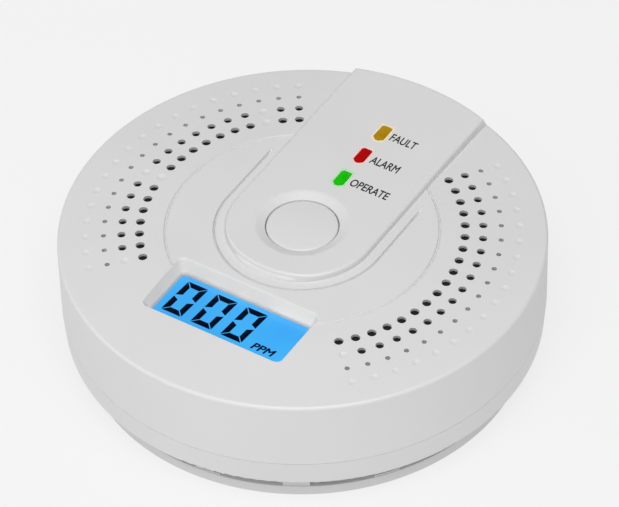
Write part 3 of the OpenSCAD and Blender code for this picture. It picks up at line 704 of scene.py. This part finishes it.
def dimple_cutter(radius, depth):
    """Shallow round-bottomed dimple with a soft mouth."""
    sink = 0.02
    outer = radius + dimple_mouth
    bowl = []
    for angle in map(math.radians, (25, 50, 72)):
        bowl.append((radius * math.sin(angle), -depth * math.cos(angle) - sink))
    profile = [(0, -depth - sink), *bowl, (radius, -sink), (outer, hair), (outer, above), (0, above)]
    return turned(profile, hole_steps)


rows, row_start, row_pitch = 18, 33.25, 6.0
ring_radii = (33.15, 36.83, 40.51, 44.19)
inner_hole_r, second_hole_r, blind_hole_r, dimple_r = 1.85 / 2, 1.65 / 2, 1.0 / 2, 1.5 / 2
blind_depth, dimple_depth, closed_depth = 1.4, 0.14, 0.2
closed = {(-1, 0, 2), (-1, 0, 10), (-1, 1, 2), (-1, 1, 10), (-1, 1, 17), (1, 1, 17)}
cutters = [hole_cutter(inner_hole_r, recess_depth), hole_cutter(second_hole_r, recess_depth),
           hole_cutter(blind_hole_r, blind_depth), dimple_cutter(dimple_r, dimple_depth)]
shallow = [dimple_cutter(inner_hole_r, closed_depth), dimple_cutter(second_hole_r, closed_depth)]
holes = []
for side in (-1, 1):
    for row in range(rows):
        turn = Matrix.Rotation(-side * math.radians(row_start + row * row_pitch), 4, "Z")
        for ring, radius in enumerate(ring_radii):
            slope = math.atan(face_level(radius - 0.5) - face_level(radius + 0.5))
            tilt = Matrix.Translation((0, radius, face_level(radius))) @ Matrix.Rotation(-slope, 4, "X")
            cutter = shallow[ring] if (side, ring, row) in closed else cutters[ring]
            holes.append(placed(cutter, turn @ tilt))


def lamp_outline(level, grow, lamp_y):
    """Lamp window: a narrow slot whose corners are cut, more at the lower end."""
    half_w, half_l, cut = 1.2 + grow, 2.35 + grow, 0.7
    corners = [(-half_w, -half_l + cut), (-half_w + 1.3 * cut, -half_l), (half_w - 1.3 * cut, -half_l),
               (half_w, -half_l + cut), (half_w, half_l - cut / 2), (half_w - cut / 2, half_l),
               (-half_w + cut / 2, half_l), (-half_w, half_l - cut / 2)]
    return [(x, lamp_y + y, level) for x, y in corners]


lamp_places = {"operate": 15.4, "alarm": 23.35, "fault": 31.3}
slots = [
    lofted([lamp_outline(z_strip + up, grow, lamp_y) for up, grow in (
        (-4.5, 0), (-0.1, 0), (-0.03, 0.03), (0.002, 0.1), (1, 0.1))])
    for lamp_y in lamp_places.values()
]

gap_r, dish_r, dish_depth, dish_soft = 7.6, 9.6, 0.8, 0.4
z_dish = z_strip - dish_depth
z_well = z_face - 3.3
well = [(0, z_well), (gap_r, z_well)]
well += soft_corner((gap_r, z_dish - 0.12), (gap_r, z_dish), (gap_r + 0.12, z_dish + 0.048), 3)
well += soft_corner((dish_r - dish_soft, z_strip - 0.16), (dish_r, z_strip),
                    (dish_r + dish_soft, z_strip + hair), 6)
well += [(dish_r + dish_soft, z_strip + 1), (0, z_strip + 1)]
round_steps = 160
combine(cover, together(holes + slots + [turned(well, round_steps)]), "DIFFERENCE")
front = finished(cover, body_white, "detector", "white_plastic", "front_cover")
print(len(holes), "holes and dimples,", len(slots), "lamp slots and the button's dish")

# The second slot holds the painted shade for the walls of the holes, chosen by the mask below.
front.data.materials.append(painted_shade_hole_white)
beside_pocket = 17.0
inside_first, outside_third = ring_radii[0] - 1.2, ring_radii[2] + 0.8
steep, below_mouth = 0.5, 0.05
hole_walls = 0
for face in front.data.polygons:
    x, y, z = face.center / mm
    radius = math.hypot(x, y)
    in_rings = abs(x) > beside_pocket and inside_first < radius < outside_third
    if in_rings and abs(face.normal.z) < steep and below_mouth < face_level(radius) - z < face_wall:
        face.material_index = 1
        hole_walls += 1
print(hole_walls, "faces of hole walls get the duller white")

# %% [markdown]
# ## The test button
# A press button in a thin gap. Its top isn't quite flat: a crown of a few tenths of a millimetre
# keeps it from looking hollow and lets the light fade across it. Inside, a flange stops it from
# falling out and a stem meets the switch. It's one turned shape, and it rides on the button's own
# body, so it sinks when the joint moves.

# %% Button
button_r = 7.4
crown = 0.42
edge_round = 0.45
flange_r = 8.5
z_flange_top = z_strip - 2.1
flange_thick = 1.1
stem_r = 2.4
z_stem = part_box("test_button")[0].z / mm


def crown_level(radius):
    """Height of the button's top at a radius."""
    return z_button_top - crown * (radius / button_r) ** 2


outline = [(0, z_button_top)]
outline += [(radius, crown_level(radius)) for radius in (1, 2, 3, 4, 5, 5.8, 6.5)]
inside_edge = button_r - edge_round
outline += soft_corner((inside_edge, crown_level(inside_edge)), (button_r, crown_level(button_r)),
                       (button_r, crown_level(button_r) - edge_round), 7)
outline += [(button_r, z_flange_top), (flange_r, z_flange_top), (flange_r, z_flange_top - flange_thick),
            (stem_r, z_flange_top - flange_thick), (stem_r, z_stem), (0, z_stem)]
finished(form("crowned_test_button", turned(outline, round_steps)), button_white, "button", "button_plastic",
         "test_button")
print("button crown", crown, "mm over a radius of", button_r, "mm")

# %% [markdown]
# ## The lamp windows
# Three light pipes carry the light of small lamps on the board up to the strip. Each is a clear
# tinted bar with a shoulder that stops it under the face. The top edge has a tiny bevel, which draws
# the fine bright outline that tells a window from a printed patch.

# %% Light pipes
windows = {
    "operate": (green_window, "green_lens"),
    "alarm": (red_window, "red_lens"),
    "fault": (amber_window, "amber_lens"),
}
slack, shoulder, shoulder_thick = -0.05, 0.6, 0.8
z_shoulder = z_strip - 2.9
z_shoulder_top = z_shoulder + shoulder_thick
for colour, (window, lens) in windows.items():
    node = "light_pipe_" + colour
    z_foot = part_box(node)[0].z / mm
    levels = ((z_foot, slack), (z_shoulder, slack), (z_shoulder, shoulder), (z_shoulder_top, shoulder),
              (z_shoulder_top, slack), (z_lamp_top - 0.12, slack), (z_lamp_top - 0.035, -0.085),
              (z_lamp_top, -0.17))
    pipe = lofted([lamp_outline(level, grow, lamp_places[colour]) for level, grow in levels])
    finished(form("window_" + colour, pipe), window, "detector", lens, node)

# %% [markdown]
# Some of the light leaks sideways out of each pipe and lights the white plastic right around it. That
# pale collar makes the windows look switched on even in daylight. It's a ring of a third of a
# millimetre, a hair above the strip, in a bright tint of the window's colour.

# %% Collars of leaked light
def collar(lamp_y):
    """Thin ring around one window."""
    levels = ((0.003, 0.1), (0.003, 0.42), (0.009, 0.42), (0.014, 0.32), (0.014, 0.1))
    return lofted([lamp_outline(z_strip + up, grow, lamp_y) for up, grow in levels], ring=True)


leaks = {
    "fault": tinted_acrylic("leaked_amber", (0.84, 0.70, 0.40), (0.90, 0.76, 0.46), 0.06),
    "alarm": tinted_acrylic("leaked_red", (0.88, 0.56, 0.56), (0.94, 0.62, 0.60), 0.06),
    "operate": tinted_acrylic("leaked_green", (0.38, 0.74, 0.36), (0.44, 0.80, 0.42), 0.06),
}
for colour, leak in leaks.items():
    finished(form("collar_" + colour, collar(lamp_places[colour])), leak, "detector", "white_plastic")

# %% [markdown]
# ## The display's digits
# A segment display shows its figures by darkening shaped areas of the crystal layer. Each digit has
# seven bars, leaning a little to the right, with thin gaps where they meet. The bars are drawn as flat
# outlines and raised by two hundredths of a millimetre, so they lie on the blue like the real layer.
# The reading is zero, so the middle bars stay off. The glass below them is built again with its
# ground edges. It's hidden from diffuse light and casts no shadow, because a real screen lets the
# room's light through to the white sheet behind it, which brightens the pocket without tinting it.

# %% Segments
def raised(outline, low, high):
    """Thin plate from a flat outline."""
    return lofted([[(x, y, low) for x, y in outline], [(x, y, high) for x, y in outline]])


def zero_digit(left, right, bottom, top):
    """Six bars of a leaning zero."""
    thick, gap, middle_gap, slant = 1.3, 0.14, 0.2, 0.6
    width, height = right - left - slant, top - bottom
    middle = height / 2
    bars = [
        [(gap, height), (width - gap, height),
         (width - thick - gap, height - thick), (thick + gap, height - thick)],
        [(gap, 0), (thick + gap, thick), (width - thick - gap, thick), (width - gap, 0)],
    ]
    for mirror in (False, True):
        for base in (0, middle):
            low = base + (gap if base == 0 else middle_gap)
            high = base + middle - (middle_gap if base == 0 else gap)
            inner_low = low + (thick if base == 0 else thick / 2)
            inner_high = high - (thick / 2 if base == 0 else thick)
            bar = [(0, low), (thick, inner_low), (thick, inner_high), (0, high)]
            bars.append([(width - x, y) for x, y in bar] if mirror else bar)
    return [[(left + x + slant * y / height, bottom + y) for x, y in bar] for bar in bars]


digit_places = ((-13.9, -8.5), (-6.9, -1.4), (0.2, 5.8))
digit_bottom, digit_top = -31.4, -22.1
glass_w, glass_l, glass_corner = 36.7, 18.6, 0.6
ink_foot, ink_top, ink_rise = 0.002, 0.022, 0.016
bars = []
for left, right in digit_places:
    for bar in zero_digit(left, right, digit_bottom, digit_top):
        bars.append(raised(bar, z_glass_top + ink_foot, z_glass_top + ink_top))
outlines = []
for up, grow in ((-1.6, -0.1), (-1.5, 0), (-0.1, 0), (0, -0.1)):
    width, length = glass_w + 2 * grow, glass_l + 2 * grow
    outlines.append(rounded_outline(width, length, glass_corner, z_glass_top + up, display_y))
glass = finished(form("display_screen", lofted(outlines)), display_blue, "detector", "display_glass",
                 "display_glass")
glass.visible_diffuse = False
glass.visible_shadow = False
finished(form("display_zeros", together(bars)), segment_ink, "detector", "display_glass")
print(len(bars), "bars lit dark")

# %% [markdown]
# ## Small lettering
# Next to each window stands the plain word for what the lamp means, and the display has its unit.
# Blender's text curves turn into outlines, which become thin raised ink: the word is made in
# Blender's own font, then squeezed into the narrow space that it has on the strip.

# %% Legends
def word(name, letters, left, right, bottom, top, level, slant, weight):
    """Thin ink in the shape of a word, fitted into a box in millimetres."""
    curve = bpy.data.curves.new(name, "FONT")
    curve.body = letters
    curve.extrude = 0.01
    curve.bevel_depth = weight
    curve.bevel_resolution = 0
    curve.resolution_u = 4
    source = bpy.data.objects.new(name, curve)
    bpy.context.scene.collection.objects.link(source)
    mesh = bpy.data.meshes.new_from_object(source.evaluated_get(bpy.context.evaluated_depsgraph_get()))
    bpy.data.objects.remove(source)
    raw = bmesh.new()
    raw.from_mesh(mesh)
    bmesh.ops.remove_doubles(raw, verts=raw.verts, dist=1e-5)
    low = Vector([min(point.co[axis] for point in raw.verts) for axis in range(3)])
    size = Vector([max(point.co[axis] for point in raw.verts) for axis in range(3)]) - low
    for point in raw.verts:
        share = [(point.co[axis] - low[axis]) / size[axis] for axis in range(3)]
        room = right - left - slant
        point.co = (left + share[0] * room + slant * share[1], bottom + share[1] * (top - bottom),
                    level + ink_foot + ink_rise * share[2])
    bmesh.ops.recalc_face_normals(raw, faces=raw.faces)
    raw.to_mesh(mesh)
    raw.free()
    plate = bpy.data.objects.new(name, mesh)
    bpy.context.scene.collection.objects.link(plate)
    return plate


legend_left, legend_half = 2.15, 1.12
legends = (("fault", "FAULT", 8.2), ("alarm", "ALARM", 8.8), ("operate", "OPERATE", 11.1))
for colour, letters, right in legends:
    middle = lamp_places[colour]
    legend = word("legend_" + colour, letters, legend_left, right, middle - legend_half, middle + legend_half,
                  z_strip, slant=0, weight=0.018)
    finished(legend, legend_ink, "detector", "white_plastic")
unit = word("display_unit", "PPM", left=7.4, right=12.7, bottom=-31.6, top=-29.7, level=z_glass_top,
            slant=0.4, weight=0.03)
finished(unit, segment_ink, "detector", "display_glass")

# %% [markdown]
# ## Studio
# The setting is plain: a pale floor, a broad soft light from above and behind the viewer, a weak fill
# light from the left, and a white surround that softens the shadows. The floor glows slightly, the way
# a lit tabletop in a product studio burns out to white, so the detector stands in an even field of
# pale grey.

# %% Floor
def pale_floor(name, side, level, glow):
    """Square of floor with a slight glow, well beyond the view."""
    mesh = bpy.data.meshes.new(name)
    half = side / 2
    corners = [(-half, -half, 0), (half, -half, 0), (half, half, 0), (-half, half, 0)]
    mesh.from_pydata(corners, [], [(0, 1, 2, 3)])
    floor = bpy.data.objects.new(name, mesh)
    bpy.context.scene.collection.objects.link(floor)
    finish, tree, shader, place = new_finish(name + "_paint")
    drift_of_colour(tree, shader, noise(tree, place, 400 * mm), grey(level - 0.01), grey(level))
    shader.inputs["Roughness"].default_value = 0.9
    shader.inputs["Specular IOR Level"].default_value = 0.0
    shader.inputs["Emission Color"].default_value = (1, 1, 1, 1)
    shader.inputs["Emission Strength"].default_value = glow
    mesh.materials.append(finish)
    return floor


pale_floor("studio_floor", 6.0, 0.15, 0.76)

# %% Lights and surround
def soft_light(name, place, aim, size, power):
    """Square area light that looks at a point."""
    light = bpy.data.lights.new(name, "AREA")
    light.size = size
    light.energy = power
    lamp = bpy.data.objects.new(name, light)
    lamp.location = place
    lamp.rotation_euler = (Vector(aim) - Vector(place)).to_track_quat("-Z", "Y").to_euler()
    bpy.context.scene.collection.objects.link(lamp)
    return lamp


lit_point = (0, 0, 0.02)
soft_light("key_light", (0.25, -0.42, 0.98), lit_point, size=0.8, power=9.3)
soft_light("fill_light", (-0.45, -0.45, 0.35), lit_point, size=0.5, power=0.8)

surround_strength = 0.29
surround = bpy.data.worlds.new("white_surround")
surround.use_nodes = True
backdrop = surround.node_tree.nodes["Background"]
backdrop.inputs["Color"].default_value = (1, 1, 1, 1)
backdrop.inputs["Strength"].default_value = surround_strength
bpy.context.scene.world = surround
bpy.context.scene.view_settings.view_transform = "Standard"
print("a key light, a weak fill from the left and a white surround")

# %% [markdown]
# ## Camera
# The camera looks down at 44 degrees from the front right, through a long lens that flattens the
# perspective as product pictures do. Its place follows from a direction, a distance and a slight roll
# about the line of sight, all measured from the middle of the body's rim.

# %% Camera
view_turn = math.radians(33.257)
view_height = math.radians(44.046)
view_roll = math.radians(-1.636)
view_distance = 856.15 * mm
focal_length = 244.46
aim_right = 1.427 * mm
aim_up = -4.06 * mm
rim_middle = Vector((0, 0, 28.2 * mm))

back = Vector((math.sin(view_turn) * math.cos(view_height), -math.cos(view_turn) * math.cos(view_height),
               math.sin(view_height)))
level_right = Vector((math.cos(view_turn), math.sin(view_turn), 0))
level_up = back.cross(level_right)
right = math.cos(view_roll) * level_right + math.sin(view_roll) * level_up
up = math.cos(view_roll) * level_up - math.sin(view_roll) * level_right

lens = bpy.data.cameras.new("view_camera")
lens.sensor_width = 36
lens.lens = focal_length
camera = bpy.data.objects.new("view_camera", lens)
turn = Matrix((right, up, back)).transposed()
place = rim_middle + back * view_distance + right * aim_right + up * aim_up
camera.matrix_world = Matrix.Translation(place) @ turn.to_4x4()
bpy.context.scene.collection.objects.link(camera)
bpy.context.scene.camera = camera
print("camera at", [round(v, 4) for v in camera.matrix_world.translation])
